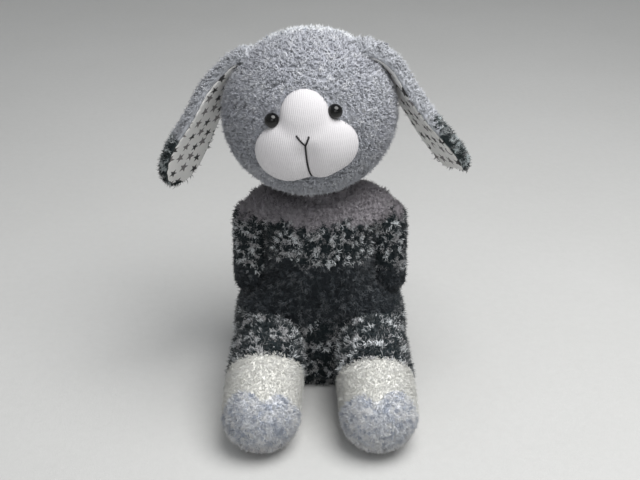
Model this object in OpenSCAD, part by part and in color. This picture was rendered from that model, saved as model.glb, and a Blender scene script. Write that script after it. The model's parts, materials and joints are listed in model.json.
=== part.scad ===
// Stuffed sock bunny sitting with its legs forward: fleecy sock skins over polyester stuffing.
// Millimetres. +Z is up and the rabbit faces -Y. The origin is on the floor at the middle of the
// overall width and depth. Positions inside the model are taken from the torso's upright axis.

/* [Placement] */
// Sideways distance from the torso's axis to the middle of the overall width
middle_x = 5.22; // [5.22]
// Forward distance from the torso's axis to the middle of the overall depth
middle_y = 33.67; // [33.67]

/* [Torso] */
// Height of the torso's flat top above the floor
torso_h = 131; // [128:0.5:131]
// Diameter of the round chest
chest_d = 70; // [66:1:70]
// Overall width across the hips
hip_w = 113; // [104:1:114]
// Diameter of the hips, seen from the side
hip_d = 71.2; // [70:0.1:71.2]
// Height of the hips' centre above the floor
hip_z = 23; // [21:0.5:23]
// Thickness of the fleecy sock, its pile pressed flat
sock_t = 3; // [2:0.1:3.5]

/* [Neck] */
// Diameter of the wad of stuffing in the neck
neck_d = 40; // [30:1:40]
// Height of the neck above the torso
neck_h = 3.2; // [2:0.1:3.2]
// Thickness of the gathering thread
thread_d = 1.2; // [0.6:0.1:1.4]

/* [Head] */
// Diameter of the round head
head_d = 106; // [104:1:109]
// Height of the head's centre above the floor
head_z = 192; // [192:0.5:195]
// How far the head leans to the rabbit's right
head_roll = 9; // [4:1:10]
// How far the face turns towards the rabbit's left
head_yaw = -1; // [-6:1:6]

/* [Face] */
// Diameter of each bead eye
eye_d = 9; // [6:0.5:10]
// Distance between the two eyes' centres
eye_gap = 37.5; // [37:0.5:42]
// Height of the eyes above the head's centre
eye_z = 15.5; // [15:0.5:20]
// Thickness of the fine-knit muzzle patch
patch_t = 1.4; // [1:0.1:1.6]

/* [Ears] */
// Length of an ear from its seam to its tip
ear_l = 95; // [80:1:98]
// Greatest width of an ear
ear_w = 42; // [34:1:44]
// Width of an ear at its seam
ear_root_w = 22; // [16:1:22]
// Thickness of the fleecy outer layer
ear_outer_t = 5; // [3:0.1:5]
// Thickness of the printed cotton lining
ear_lining_t = 1.6; // [0.8:0.1:1.6]
// How far the rabbit's right ear stands out from the head's own upright
right_ear_lean = 32; // [31:1:45]
// How far the rabbit's left ear stands out from the head's own upright
left_ear_lean = 24; // [24:1:45]

/* [Arms] */
// Diameter of an arm
arm_d = 23; // [20:0.5:23]
// Length of an arm from the top of the shoulder to the end of the hand
arm_l = 63; // [50:1:63]
// Height of the shoulder's centre above the floor
shoulder_z = 112; // [112:1:116]

/* [Legs] */
// Diameter of a leg and foot
leg_d = 46.8; // [40:0.2:46.8]
// Distance between the two legs' centre lines
leg_gap = 69; // [64:1:72]
// Height of the thigh's centre line above the floor
thigh_z = 37.5; // [36:0.5:38]
// Length of the straight thigh
thigh_l = 26; // [20:1:30]
// Length of the cream cuff along its centre line
cuff_l = 34; // [30:1:36]

/* [Hidden] */
$fn = 96;

gap = 0.2; // between pieces of one body
joint_gap = 0.4; // between pieces that move past each other
big = 400;

chest_r = chest_d / 2;
hip_r = hip_d / 2;
hip_round = 24; // rounding of the hips' ends
shoulder_round = 14; // rounding of the chest's top edge

neck_z = torso_h + joint_gap;
neck_groove_r = neck_d / 2 - thread_d / 2;

head_r = head_d / 2;
head_x = -6.5;
head_y = -4;
head_seam = 90; // brings the seam of the head's sphere to the back

cheek_r = 23.5;
cheek_x = 11;
cheek_y = -34.5;
cheek_z = -5;
snout_r = 26;
snout_y = -34.5;
brow_r = 16.5;
brow_y = -42;
brow_z = 17;

eye_r = eye_d / 2;
eye_y = -sqrt(head_r * head_r - pow(eye_gap / 2, 2) - eye_z * eye_z);
eye_turn = atan((eye_gap / 2) / -eye_y);
eye_rise = asin(eye_z / head_r);
shank_l = 3;
shank_r = 1;
eye_thread_r = 0.5;
eye_thread_l = 16;
thread_top = -eye_r - shank_l - gap;
knot_r = 1.4;
room_turn = 37; // turn of the room for an eye about the eye's own axis

stitch_r = 0.7; // black embroidery thread
nose_turn = 17; // rise of the nose above the snout's centre, seen from the side
mouth_end = -41; // end of the mouth, below the snout's centre
nose_arm = 7;
nose_dip = 11; // slope of the nose's arms into the face
nose_spread = 38; // angle of each of the nose's arms to the upright

ear_x = 50.5; // the ear seams, in the head's own frame
ear_y = 9;
ear_z = 33.5;
ear_turn = 25; // how far the linings face forward
ear_t = ear_outer_t + gap + ear_lining_t;
ear_widest = 0.63 * ear_l; // distance from the seam to the widest place
ear_side = (pow(ear_widest, 2) - (pow(ear_w, 2) - pow(ear_root_w, 2)) / 4) / (ear_w - ear_root_w);
ear_tip_r = 0.56 * ear_l; // roundness of the tip

arm_r = arm_d / 2;
arm_x = chest_r + 1.2 + arm_r;
arm_drop = arm_l - 2 * arm_r;

leg_r = leg_d / 2;
leg_front = -max(chest_r, hip_r) - joint_gap; // where a thigh meets the torso
bend_y = leg_front - thigh_l;
foot_z = leg_r;
foot_drop = asin((thigh_z - foot_z) / cuff_l);
thigh_ease = 0.3; // how much slimmer than its sock the wad in the thigh is, all round
hip_thread_r = 0.6;
hip_thread_z = leg_r - 4; // height of the hip stitches above the thigh's centre line
hip_thread_half = sqrt(leg_r * leg_r - hip_thread_z * hip_thread_z) + 0.4;

// The frame every piece is drawn in.
module placed() {
    translate([middle_x, middle_y, 0])
        children();
}

// The head's own frame: its centre, leaning and turned.
module in_head() {
    placed()
        translate([head_x, head_y, head_z])
            rotate([0, -head_roll, 0])
                rotate([0, 0, head_yaw])
                    children();
}

// The half of a flat outline that lies at positive X, turned about the upright axis.
module turned() {
    rotate_extrude()
        intersection() {
            union()
                children();
            translate([0, -big / 2])
                square([big / 2, big]);
        }
}

// A round bar with a ball at each end, from the origin down along -Z.
module capsule(r, l) {
    turned() {
        circle(r);
        translate([0, -l])
            circle(r);
        translate([-r, -l])
            square([2 * r, l]);
    }
}

// Half of the chest's outline, taken in by inset.
module chest_outline(inset) {
    r = chest_r - inset;
    top = torso_h - inset;
    corner = shoulder_round - inset;
    union() {
        translate([0, hip_z])
            square([r, top - corner - hip_z]);
        translate([0, hip_z])
            square([r - corner, top - hip_z]);
        translate([r - corner, top - corner])
            intersection() {
                circle(corner);
                square([corner, corner]);
            }
    }
}

// Half of the hips' outline, their axis upright here, taken in by inset.
module hip_outline(inset) {
    r = hip_r - inset;
    half = hip_w / 2 - inset;
    corner = hip_round - inset;
    union() {
        translate([0, -half + corner])
            square([r, 2 * (half - corner)]);
        translate([0, -half])
            square([r - corner, 2 * half]);
        for (end = [0, 1])
            mirror([0, end])
                translate([r - corner, half - corner])
                    intersection() {
                        circle(corner);
                        square([corner, corner]);
                    }
    }
}

// The whole torso, taken in by inset on every side and flat underneath.
module torso(inset) {
    difference() {
        union() {
            rotate_extrude()
                chest_outline(inset);
            translate([0, 0, hip_z])
                rotate([0, 90, 0])
                    rotate_extrude()
                        hip_outline(inset);
        }
        translate([-big / 2, -big / 2, inset - big])
            cube(big);
    }
}

module body_skin() {
    color("DimGray")
        placed()
            difference() {
                torso(0);
                torso(sock_t);
            }
}

module body_stuffing() {
    color("White")
        placed()
            torso(sock_t + gap);
}

// A wad of stuffing with a groove that the gathering thread sits in.
module neck_stuffing() {
    color("White")
        placed()
            translate([0, 0, neck_z])
                difference() {
                    cylinder(r = neck_d / 2, h = neck_h);
                    translate([0, 0, neck_h / 2])
                        rotate_extrude()
                            translate([neck_groove_r, 0])
                                circle(thread_d / 2 + gap / 2);
                }
}

module neck_gathering_thread() {
    color("Gray")
        placed()
            translate([0, 0, neck_z + neck_h / 2])
                rotate_extrude()
                    translate([neck_groove_r, 0])
                        circle(thread_d / 2);
}

// One eye's place: +Z points straight out of the head there.
module at_eye(side) {
    translate([side * eye_gap / 2, eye_y, eye_z])
        rotate([0, 0, side * eye_turn])
            rotate([90 - eye_rise, 0, 0])
                children();
}

// The outline of an eye and the shank behind it.
module eye_outline() {
    circle(eye_r);
    translate([-shank_r, -eye_r - shank_l])
        square([2 * shank_r, shank_l + eye_r]);
}

// The outline of the thread behind an eye, with the knot at its inner end.
module eye_thread_outline() {
    translate([-eye_thread_r, thread_top - eye_thread_l])
        square([2 * eye_thread_r, eye_thread_l]);
    translate([0, thread_top - eye_thread_l])
        circle(knot_r);
}

// Room for one eye, its shank and its thread, taken out of what they are set into.
module eye_room() {
    rotate([0, 0, room_turn])
        turned() {
            circle(eye_r + gap);
            translate([-shank_r - gap, thread_top - eye_thread_l])
                square([2 * (shank_r + gap), eye_thread_l - thread_top]);
            translate([0, thread_top - eye_thread_l])
                circle(knot_r + gap);
        }
}

// The head's ball, taken in by inset.
module head_ball(inset) {
    rotate([0, 0, head_seam])
        sphere(head_r - inset);
}

module head_skin() {
    color("LightSlateGray")
        in_head()
            difference() {
                head_ball(0);
                head_ball(sock_t);
                at_eye(-1)
                    eye_room();
                at_eye(1)
                    eye_room();
            }
}

module head_stuffing() {
    color("White")
        in_head()
            difference() {
                head_ball(sock_t + gap);
                at_eye(-1)
                    eye_room();
                at_eye(1)
                    eye_room();
            }
}

// Two cheeks, a snout between them and a brow above, taken in by inset.
module muzzle_shape(inset) {
    for (side = [-1, 1])
        translate([side * cheek_x, cheek_y, cheek_z])
            sphere(cheek_r - inset);
    translate([0, snout_y, cheek_z])
        sphere(snout_r - inset);
    translate([0, brow_y, brow_z])
        sphere(brow_r - inset);
}

// The groove that the black stitches are pulled into.
module stitches(room) {
    nose_stroke(room, -1);
    nose_stroke(room, 1);
    mouth_stroke(room);
}

// One arm of the nose's V, from its foot up to one side.
module nose_stroke(room, side) {
    translate([0, snout_y, cheek_z])
        rotate([-nose_turn, 0, 0])
            translate([0, -snout_r, 0])
                rotate([-nose_dip, side * nose_spread, 0]) {
                    cylinder(r = stitch_r + room, h = nose_arm);
                    sphere(stitch_r + room);
                    translate([0, 0, nose_arm])
                        sphere(stitch_r + room);
                }
}

// The mouth: an arc down the middle of the snout, below the nose.
module mouth_stroke(room) {
    start = nose_turn - 5;
    translate([0, snout_y, cheek_z])
        rotate([90, 0, -90])
            rotate([0, 0, mouth_end])
                rotate_extrude(angle = start - mouth_end)
                    translate([snout_r, 0])
                        circle(stitch_r + room);
}

// Where the muzzle makes way for an eye.
module eye_notch(side) {
    at_eye(side)
        sphere(eye_r + gap);
}

module muzzle_patch() {
    color("White")
        in_head()
            difference() {
                muzzle_shape(0);
                muzzle_shape(patch_t);
                sphere(head_r + gap);
                eye_notch(-1);
                eye_notch(1);
                stitches(gap / 2);
            }
}

module muzzle_padding() {
    color("WhiteSmoke")
        in_head()
            difference() {
                muzzle_shape(patch_t + gap);
                sphere(head_r + gap);
                eye_notch(-1);
                eye_notch(1);
            }
}

module eye(side) {
    color("Black")
        in_head()
            at_eye(side)
                turned()
                    eye_outline();
}

module eye_thread(side) {
    color("Black")
        in_head()
            at_eye(side)
                turned()
                    eye_thread_outline();
}

module nose_stitch() {
    color("Black")
        in_head()
            union() {
                nose_stroke(0, -1);
                nose_stroke(0, 1);
            }
}

module mouth_stitch() {
    color("Black")
        in_head()
            mouth_stroke(0);
}

// An ear's outline: narrow at its seam, broad and blunt at its tip, length along -Y.
module ear_outline() {
    side_r = ear_side + ear_w / 2;
    intersection() {
        translate([-ear_side, -ear_widest])
            circle(side_r);
        translate([ear_side, -ear_widest])
            circle(side_r);
        translate([0, ear_tip_r - ear_l])
            circle(ear_tip_r);
        translate([-ear_w, -2 * ear_l])
            square([2 * ear_w, 2 * ear_l]);
    }
}

// An ear's frame: X points out of its lining, -Z along it, and its seam lies along Y.
module at_ear(side, lean) {
    in_head()
        translate([side * ear_x, ear_y, ear_z])
            rotate([0, -side * lean, 0])
                rotate([0, 0, side * ear_turn])
                    mirror([side > 0 ? 1 : 0, 0, 0])
                        children();
}

// A flat layer of an ear between two depths.
module ear_layer(low, high) {
    translate([low, 0, 0])
        rotate([90, 0, 90])
            linear_extrude(high - low)
                ear_outline();
}

module ear_outer(side, lean) {
    color("SlateGray")
        at_ear(side, lean)
            ear_layer(-ear_t / 2, ear_t / 2 - ear_lining_t - gap);
}

module ear_lining(side, lean) {
    color("Gainsboro")
        at_ear(side, lean)
            ear_layer(ear_t / 2 - ear_lining_t, ear_t / 2);
}

// Thread whipped along the seam edge of an ear.
module ear_stitch(side, lean) {
    color("Gray")
        at_ear(side, lean)
            translate([0, ear_root_w / 2, stitch_r + gap])
                rotate([90, 0, 0])
                    cylinder(r = stitch_r, h = ear_root_w);
}

// An arm's frame: the shoulder's centre, the arm hanging straight down.
module at_arm(side) {
    placed()
        translate([side * arm_x, 0, shoulder_z])
            children();
}

module arm_skin(side) {
    color("DarkSlateGray")
        at_arm(side)
            difference() {
                capsule(arm_r, arm_drop);
                capsule(arm_r - sock_t, arm_drop);
            }
}

module arm_stuffing(side) {
    color("White")
        at_arm(side)
            capsule(arm_r - sock_t - gap, arm_drop);
}

// A ring of thread between the arm's inner side and the chest.
module shoulder_stitch(side) {
    color("Gray")
        placed()
            translate([side * (arm_x - arm_r - 0.5), 0, shoulder_z])
                rotate([0, 90, 0])
                    rotate_extrude()
                        translate([4, 0])
                            circle(0.3);
}

// A leg's frame: its thigh's centre line where it meets the torso.
module at_leg(side) {
    placed()
        translate([side * leg_gap / 2, leg_front, thigh_z])
            children();
}

// The frame of the foot: the bend, with -Z along the foot.
module at_foot(side) {
    at_leg(side)
        translate([0, -thigh_l, 0])
            rotate([-(90 - foot_drop), 0, 0])
                children();
}

// The hip stitches' straight line across the thigh, grown by room.
module hip_line(room) {
    translate([-hip_thread_half, -sock_t / 2, hip_thread_z])
        rotate([0, 90, 0])
            cylinder(r = hip_thread_r + room, h = 2 * hip_thread_half);
}

// The thigh's tube of sock, closed where it meets the torso.
module thigh(side) {
    color("DarkSlateGray")
        at_leg(side)
            difference() {
                rotate([90, 0, 0])
                    cylinder(r = leg_r, h = thigh_l - gap / 2);
                translate([0, -sock_t, 0])
                    rotate([90, 0, 0])
                        cylinder(r = leg_r - sock_t, h = thigh_l);
                hip_line(gap);
            }
}

// Everything in front of the thigh's end.
module ahead_of_thigh(side) {
    at_leg(side)
        translate([-big / 2, -thigh_l - gap / 2 - big, -big / 2])
            cube(big);
}

// Everything behind the toe cap's edge.
module behind_toe(side) {
    at_foot(side)
        translate([-big / 2, -big / 2, gap / 2 - cuff_l])
            cube(big);
}

module cuff(side) {
    color("Ivory")
        intersection() {
            difference() {
                at_foot(side)
                    capsule(leg_r, cuff_l);
                at_foot(side)
                    capsule(leg_r - sock_t, cuff_l);
            }
            ahead_of_thigh(side);
            behind_toe(side);
        }
}

module toe_cap(side) {
    color("LightSteelBlue")
        at_foot(side)
            translate([0, 0, -cuff_l])
                difference() {
                    sphere(leg_r);
                    sphere(leg_r - sock_t);
                    translate([-big / 2, -big / 2, -gap / 2])
                        cube(big);
                }
}

module leg_stuffing(side) {
    r = leg_r - sock_t - gap;
    color("White")
        union() {
            at_leg(side)
                translate([0, -sock_t - gap, 0])
                    rotate([90, 0, 0])
                        cylinder(r = r - thigh_ease, h = thigh_l - sock_t);
            intersection() {
                at_foot(side)
                    capsule(r, cuff_l);
                ahead_of_thigh(side);
            }
        }
}

// Thread across the top of the thigh, where the leg folds.
module hip_stitch(side) {
    color("Gray")
        at_leg(side)
            hip_line(0);
}

body_skin();
body_stuffing();
neck_stuffing();
neck_gathering_thread();
head_skin();
head_stuffing();
muzzle_patch();
muzzle_padding();
eye(-1);  // right_eye
eye(1);  // left_eye
eye_thread(-1);  // right_eye_thread
eye_thread(1);  // left_eye_thread
nose_stitch();
mouth_stitch();
ear_outer(-1, right_ear_lean);  // right_ear_outer
ear_lining(-1, right_ear_lean);  // right_ear_lining
ear_stitch(-1, right_ear_lean);  // right_ear_stitch
ear_outer(1, left_ear_lean);  // left_ear_outer
ear_lining(1, left_ear_lean);  // left_ear_lining
ear_stitch(1, left_ear_lean);  // left_ear_stitch
arm_skin(-1);  // right_arm_skin
arm_stuffing(-1);  // right_arm_stuffing
shoulder_stitch(-1);  // right_shoulder_stitch
arm_skin(1);  // left_arm_skin
arm_stuffing(1);  // left_arm_stuffing
shoulder_stitch(1);  // left_shoulder_stitch
thigh(-1);  // right_thigh
cuff(-1);  // right_cuff
toe_cap(-1);  // right_toe_cap
leg_stuffing(-1);  // right_leg_stuffing
hip_stitch(-1);  // right_hip_stitch
thigh(1);  // left_thigh
cuff(1);  // left_cuff
toe_cap(1);  // left_toe_cap
leg_stuffing(1);  // left_leg_stuffing
hip_stitch(1);  // left_hip_stitch
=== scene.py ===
"""Looks of the stuffed sock bunny: fleecy skins with their pile, a knit muzzle and starred ear linings.

Lengths inside the script are millimetres in the row frame; meshes are written in metres.
"""

import math

import json

import bpy
import numpy as np
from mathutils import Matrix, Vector, noise


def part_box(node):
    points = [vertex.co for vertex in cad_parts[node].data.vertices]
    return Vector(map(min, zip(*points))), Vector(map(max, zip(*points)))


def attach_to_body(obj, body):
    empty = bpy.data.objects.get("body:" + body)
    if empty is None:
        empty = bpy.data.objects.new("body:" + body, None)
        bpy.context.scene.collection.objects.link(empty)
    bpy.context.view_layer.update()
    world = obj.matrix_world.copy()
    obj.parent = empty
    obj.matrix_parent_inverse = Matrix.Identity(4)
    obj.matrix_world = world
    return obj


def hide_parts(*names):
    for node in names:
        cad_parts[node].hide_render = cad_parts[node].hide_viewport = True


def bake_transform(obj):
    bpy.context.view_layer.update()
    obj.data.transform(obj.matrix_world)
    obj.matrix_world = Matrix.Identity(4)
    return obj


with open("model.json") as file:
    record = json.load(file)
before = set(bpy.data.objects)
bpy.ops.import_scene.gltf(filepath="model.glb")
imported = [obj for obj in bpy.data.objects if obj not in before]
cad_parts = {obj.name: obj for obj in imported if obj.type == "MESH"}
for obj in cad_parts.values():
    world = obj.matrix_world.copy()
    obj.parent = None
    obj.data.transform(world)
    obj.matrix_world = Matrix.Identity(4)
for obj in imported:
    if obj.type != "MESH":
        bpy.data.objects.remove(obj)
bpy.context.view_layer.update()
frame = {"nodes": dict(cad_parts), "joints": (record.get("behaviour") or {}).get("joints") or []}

MM = 0.001
SIDES = {"right": -1, "left": 1}
JOINTS = {joint["name"]: joint for joint in frame["joints"]}


# ---------------------------------------------------------------- places taken from the CAD


def middle(node):
    """The centre of a CAD node's box, in millimetres."""
    low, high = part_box(node)
    return np.array((low + high) / 2) / MM


def turn(axis, degrees):
    """A rotation matrix about a main axis."""
    angle = math.radians(degrees)
    c, s = math.cos(angle), math.sin(angle)
    return np.array(
        {
            "x": [[1, 0, 0], [0, c, -s], [0, s, c]],
            "y": [[c, 0, s], [0, 1, 0], [-s, 0, c]],
            "z": [[c, -s, 0], [s, c, 0], [0, 0, 1]],
        }[axis]
    )


AXIS = np.array([*middle("body_skin")[:2], 0.0])
HEAD = middle("head_skin")
HEAD_TURN = turn("y", -9) @ turn("z", -1)
NECK = np.array(JOINTS["head_nod"]["pos_m"]) / MM


# ---------------------------------------------------------------- numbers and curves


def unit(v):
    return v / np.maximum(np.linalg.norm(v, axis=-1, keepdims=True), 1e-9)


def smooth(low, high, x):
    t = np.clip((x - low) / (high - low), 0, 1)
    return t * t * (3 - 2 * t)


def length_along(points):
    """The distance from the first of a row of points to each of them."""
    return np.concatenate([[0], np.cumsum(np.linalg.norm(np.diff(points, axis=0), axis=1))])


CURVE_STEPS = 24  # steps from one key to the next before a curve is spaced evenly


def curve(keys, count):
    """A smooth curve through rows of keys, as count rows evenly spaced along its first three columns."""
    keys = np.array(keys, float)
    padded = np.vstack([2 * keys[0] - keys[1], keys, 2 * keys[-1] - keys[-2]])
    t = np.linspace(0, 1, CURVE_STEPS, endpoint=False)[:, None]
    parts = []
    for i in range(len(keys) - 1):
        a, b, c, d = padded[i : i + 4]
        square = (2 * a - 5 * b + 4 * c - d) * t**2
        cube = (3 * b - a - 3 * c + d) * t**3
        parts.append(0.5 * (2 * b + (c - a) * t + square + cube))
    fine = np.vstack([*parts, keys[-1:]])
    run = length_along(fine[:, :3])
    at = np.linspace(0, run[-1], count)
    return np.column_stack([np.interp(at, run, fine[:, k]) for k in range(fine.shape[1])])


def wavy(points, size, seed):
    """Smooth noise from -1 to 1 with features of about the given size, at each point."""
    offset = Vector((seed * 13.7, seed * 7.3, seed * 3.1))
    return np.array([noise.noise(Vector(p) / size + offset) for p in points])


# ---------------------------------------------------------------- meshes


def new_mesh(name, points, faces):
    """An object from points in millimetres."""
    mesh = bpy.data.meshes.new(name)
    mesh.from_pydata((np.asarray(points, float) * MM).tolist(), [], faces)
    mesh.polygons.foreach_set("use_smooth", np.ones(len(mesh.polygons), bool))
    mesh.update()
    obj = bpy.data.objects.new(name, mesh)
    bpy.context.scene.collection.objects.link(obj)
    return obj


def tube_faces(rings, around, closed_ends=(False, False)):
    """Quads of a tube of rings, and fans to an end point at each closed end."""
    faces = []
    for i in range(rings - 1):
        for j in range(around):
            k = (j + 1) % around
            a, b = i * around, (i + 1) * around
            faces.append((a + j, a + k, b + k, b + j))
    extra = rings * around
    if closed_ends[0]:
        faces += [(extra, (j + 1) % around, j) for j in range(around)]
        extra += 1
    if closed_ends[1]:
        last = (rings - 1) * around
        faces += [(extra, last + j, last + (j + 1) % around) for j in range(around)]
    return faces


def tube(name, rings, closed=(True, True)):
    """A tube through rings of points (ring, point, xyz), with its ends closed by fans."""
    count, around = rings.shape[:2]
    points = rings.reshape(-1, 3)
    if closed[0]:
        points = np.vstack([points, rings[0].mean(0)])
    if closed[1]:
        points = np.vstack([points, rings[-1].mean(0)])
    obj = new_mesh(name, points, tube_faces(count, around, closed))
    outward(obj)
    return obj


def outward(obj):
    """Turns every face outward if the mesh's volume says that they look inward."""
    mesh = obj.data
    mesh.calc_loop_triangles()
    points, corners, _ = arrays(obj)
    a, b, c = points[corners].transpose(1, 0, 2)
    if np.einsum("ij,ij->i", a - points.mean(0), np.cross(b - a, c - a)).sum() < 0:
        mesh.flip_normals()


def arrays(obj):
    """Points in millimetres, triangle corners and point normals of a mesh."""
    mesh = obj.data
    mesh.calc_loop_triangles()
    points = np.empty(len(mesh.vertices) * 3, np.float32)
    mesh.vertices.foreach_get("co", points)
    corners = np.empty(len(mesh.loop_triangles) * 3, np.int32)
    mesh.loop_triangles.foreach_get("vertices", corners)
    normals = np.empty(len(mesh.vertices) * 3, np.float32)
    mesh.vertex_normals.foreach_get("vector", normals)
    return (
        points.reshape(-1, 3).astype(float) / MM,
        corners.reshape(-1, 3),
        normals.reshape(-1, 3).astype(float),
    )


def move_points(obj, points):
    obj.data.vertices.foreach_set("co", (points * MM).astype(np.float32).ravel())
    obj.data.update()


def keep_attribute(obj, name, kind, values):
    """Stores values on the mesh's points for its material to read."""
    attribute = obj.data.attributes.new(name, kind, "POINT")
    key = "vector" if kind == "FLOAT_VECTOR" else "value"
    attribute.data.foreach_set(key, np.asarray(values, np.float32).ravel())


def keep_yarn_attributes(obj, points, along, tone, normals):
    """Stores what a yarn's material reads: place at rest, place along a fibre, tone and skin normal."""
    keep_attribute(obj, "root_point", "FLOAT_VECTOR", points * MM)
    keep_attribute(obj, "along", "FLOAT", along)
    keep_attribute(obj, "tone", "FLOAT", tone)
    keep_attribute(obj, "skin_normal", "FLOAT_VECTOR", normals)


SKIN_ALONG, SKIN_TONE = 0.1, 0.45  # the bare cloth under the pile gets the painted root shade of a fibre
NUB_SIZE, LUMP_SIZE, LUMP_RISE = 1.7, 16, 0.5
CLOTH_ABOVE_FLOOR = 0.5


def keep_skin_attributes(obj, points, normals):
    count = len(points)
    keep_yarn_attributes(obj, points, np.full(count, SKIN_ALONG), np.full(count, SKIN_TONE), normals)


def cloth(obj, nub, seed, floor=True):
    """Gives a skin the nubs of looped yarn, keeps it off the floor and stores its yarn attributes."""
    points, _, normals = arrays(obj)
    nubs = 0.5 * nub * (1 + wavy(points, NUB_SIZE, seed))
    lumps = 0.5 * LUMP_RISE * (1 + wavy(points, LUMP_SIZE, seed + 5))
    points = points + normals * (nubs + lumps)[:, None]
    if floor:
        points[:, 2] = np.maximum(points[:, 2], CLOTH_ABOVE_FLOOR)
    move_points(obj, points)
    keep_skin_attributes(obj, points, normals)


# ---------------------------------------------------------------- pile

RING = 3  # corners round a fibre
FIBRE_POINTS = 2 * RING + 1
FIBRE_SUNK = 0.6  # how far a fibre starts under the cloth
FIBRE_ABOVE_FLOOR = 0.15
BEND_ALONG = 0.6  # where a fibre's bend lies, from 0 at the root to 1 at the tip
TUFTS = 65536  # different tufts before their leans and tones repeat
TUFT_HASH = np.array([73856093, 19349663, 83492791])


def scatter(obj, density, seed, keep=None):
    """Evenly scattered points on a mesh with their normals: density per square millimetre."""
    rng = np.random.default_rng(seed)
    points, corners, normals = arrays(obj)
    a, b, c = points[corners].transpose(1, 0, 2)
    area = np.linalg.norm(np.cross(b - a, c - a), axis=1) / 2
    count = int(area.sum() * density)
    run = np.cumsum(area) / area.sum()
    pick = np.searchsorted(run, (np.arange(count) + rng.random(count)) / count)
    pick = np.minimum(pick, len(area) - 1)
    u, v = rng.random((2, count))
    over = u + v > 1
    u[over], v[over] = 1 - u[over], 1 - v[over]
    w = np.column_stack([1 - u - v, u, v])
    at = np.einsum("ij,ijk->ik", w, points[corners[pick]])
    up = unit(np.einsum("ij,ijk->ik", w, normals[corners[pick]]))
    if keep is not None:
        chosen = keep(at, up)
        at, up = at[chosen], up[chosen]
    return at, up


def pile(name, at, up, length, width, seed, lean=0.6, curl=1.3, tuft=3.0, clump=0.5, blunt=1.0):
    """Curly fibres in small tufts: each is a three-sided tapering tube bent in the middle.

    clump is how far the roots are drawn to the middle of their tuft, and blunt is the width left at the
    bend. Length may be one number or one for each fibre."""
    rng = np.random.default_rng(seed)
    count = len(at)
    cell = np.floor(at / tuft).astype(np.int64)
    key = (cell * TUFT_HASH).sum(1) & (TUFTS - 1)
    stray = rng.uniform(0.2, 0.8, (TUFTS, 3))[key]
    pull = (cell + stray) * tuft - at
    pull -= up * np.einsum("ij,ij->i", pull, up)[:, None]
    at = at + clump * pull
    tuft_lean = unit(rng.normal(size=(TUFTS, 3)))[key]
    tuft_tone = rng.random(TUFTS)[key]
    side = tuft_lean - up * np.einsum("ij,ij->i", tuft_lean, up)[:, None]
    size = np.broadcast_to(length, count) * rng.uniform(0.65, 1.25, count)
    first = unit(up + lean * side + 0.45 * rng.normal(size=(count, 3)))
    bend = rng.normal(size=(count, 3))
    second = unit(0.45 * up + lean * side + curl * unit(bend))
    under = np.einsum("ij,ij->i", second, up)
    second = unit(second + up * np.maximum(0.05 - under, 0)[:, None])
    start = at - up * FIBRE_SUNK
    mid = start + first * (size * 0.5 + FIBRE_SUNK)[:, None]
    tip = mid + second * (size * 0.55)[:, None]

    thick = width * rng.uniform(0.75, 1.25, count) / 2
    points = np.empty((count, FIBRE_POINTS, 3))
    across = unit(np.cross(first, second) + 1e-3)
    other = np.cross(first, across)
    for j in range(RING):
        angle = 2 * math.pi * j / RING
        ray = across * math.cos(angle) + other * math.sin(angle)
        points[:, j] = start + ray * thick[:, None]
        points[:, RING + j] = mid + ray * thick[:, None] * blunt
    points[:, -1] = tip
    points[..., 2] = np.maximum(points[..., 2], FIBRE_ABOVE_FLOOR)

    side_faces = [(j, (j + 1) % RING, RING + (j + 1) % RING, RING + j) for j in range(RING)]
    tip_faces = [(RING + j, RING + (j + 1) % RING, 2 * RING) for j in range(RING)]
    corners = np.concatenate([np.array(f) for f in side_faces + tip_faces])
    sizes = np.array([4] * RING + [3] * RING)
    loops = (np.arange(count)[:, None] * FIBRE_POINTS + corners).ravel()
    totals = np.tile(sizes, count)
    mesh = bpy.data.meshes.new(name)
    mesh.vertices.add(count * FIBRE_POINTS)
    mesh.vertices.foreach_set("co", (points * MM).astype(np.float32).ravel())
    mesh.loops.add(len(loops))
    mesh.loops.foreach_set("vertex_index", loops.astype(np.int32))
    mesh.polygons.add(len(totals))
    starts = np.concatenate([[0], np.cumsum(totals)[:-1]])
    mesh.polygons.foreach_set("loop_start", starts.astype(np.int32))
    mesh.polygons.foreach_set("use_smooth", np.ones(len(totals), bool))

    # Each fibre has its own small patch of the OFBake map.
    grid = math.ceil(math.sqrt(count))
    home = np.column_stack([np.arange(count) % grid, np.arange(count) // grid])
    spot = np.empty((FIBRE_POINTS, 2))
    for j in range(RING):
        spot[j] = (0.2 + 0.3 * j, 0.15)
        spot[RING + j] = (0.2 + 0.3 * j, 0.5)
    spot[-1] = (0.5, 0.85)
    uv = (home[:, None, :] + spot[corners][None]) / grid
    layer = mesh.uv_layers.new(name="OFBake")
    layer.data.foreach_set("uv", uv.astype(np.float32).ravel())
    mesh.update(calc_edges=True)
    mesh.validate()
    obj = bpy.data.objects.new(name, mesh)
    bpy.context.scene.collection.objects.link(obj)
    along = np.array([0.0] * RING + [BEND_ALONG] * RING + [1.0])
    tone = np.clip(0.7 * tuft_tone + 0.3 * rng.random(count), 0, 1)
    roots, tones, normals = (np.repeat(values, FIBRE_POINTS, 0) for values in (at, tone, up))
    keep_yarn_attributes(obj, roots, np.tile(along, count), tones, normals)
    return obj


# ---------------------------------------------------------------- materials


def srgb(r, g, b):
    """A linear colour from 0-255 display numbers."""
    out = []
    for value in (r, g, b):
        v = value / 255
        out.append(v / 12.92 if v <= 0.04045 else ((v + 0.055) / 1.055) ** 2.4)
    return (*out, 1.0)


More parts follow.
